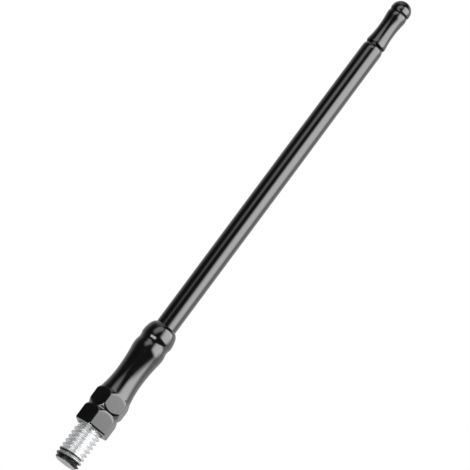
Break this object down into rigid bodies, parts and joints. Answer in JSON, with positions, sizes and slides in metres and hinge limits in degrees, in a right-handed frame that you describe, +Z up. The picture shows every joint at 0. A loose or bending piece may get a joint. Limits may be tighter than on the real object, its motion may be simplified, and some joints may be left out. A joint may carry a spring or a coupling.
{
  "type": "car antenna",
  "caption": "Short screw-in car antenna: gloss black mast with a domed tip, a turned grip, two hexagon wrench bands and a bright threaded stud.",
  "frame": {"origin": "on the axis, in the plane of the handle's lower hexagon face, which seats on the antenna base", "axes": "+Z runs up the mast to the domed tip, the stud points along -Z, and +X passes through a corner of the hexagons"},
  "size_m": [0.0116, 0.01, 0.1638],
  "materials": {
    "bright_stud": "bright plated steel, last turns of the thread darkened",
    "handle_black": "gloss black coat, mirror-like",
    "rod_black": "gloss black coat, mirror-like",
    "finial_black": "gloss black coat, mirror-like"
  },
  "bodies": {
    "root": {"threaded_stud": "bright_stud", "hex_handle": "handle_black", "mast_rod": "rod_black", "tip_finial": "finial_black"}
  },
  "joints": []
}
